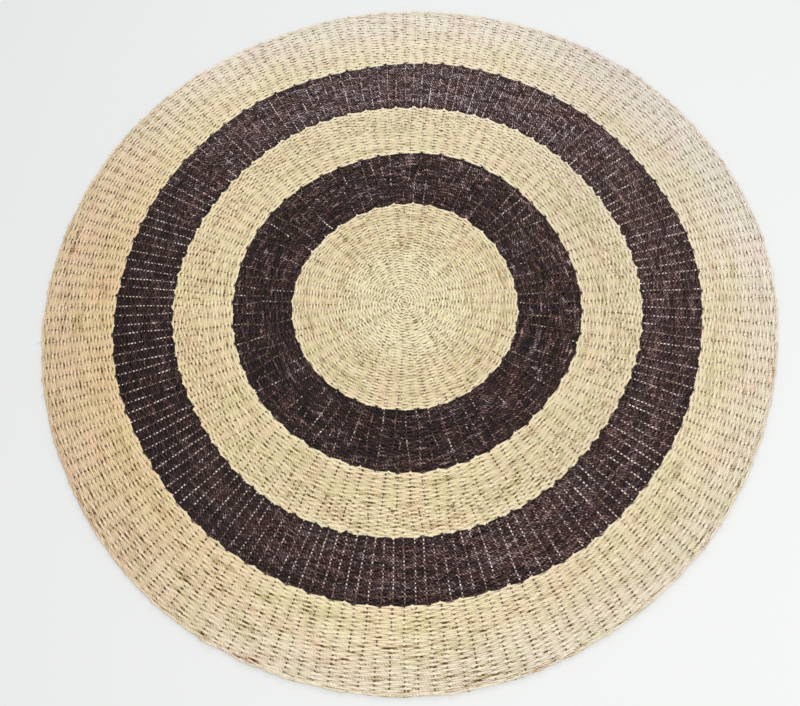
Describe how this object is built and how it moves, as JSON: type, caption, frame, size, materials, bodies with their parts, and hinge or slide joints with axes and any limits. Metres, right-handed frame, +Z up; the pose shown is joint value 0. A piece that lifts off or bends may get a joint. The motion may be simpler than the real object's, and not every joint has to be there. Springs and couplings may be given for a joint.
{
  "type": "round seagrass rug",
  "caption": "Flat round rug woven in rings of twisted seagrass cord over radial warps, with dark dyed rings in a natural straw ground.",
  "frame": {"origin": "on the floor, under the middle of the rug's bounding box", "axes": "+Z up out of the floor; -Y is the side nearest the picture's camera, and +X is its right"},
  "size_m": [1.7182, 1.719, 0.0096],
  "materials": {
    "natural_seagrass": "matte twisted plant fibre, straw-coloured with pinkish and greenish strands",
    "dyed_seagrass": "the same fibre dyed brown-black, with a slight sheen",
    "warp_cord": "matte undyed cord"
  },
  "bodies": {
    "root": {"rug": "natural_seagrass"}
  },
  "joints": []
}
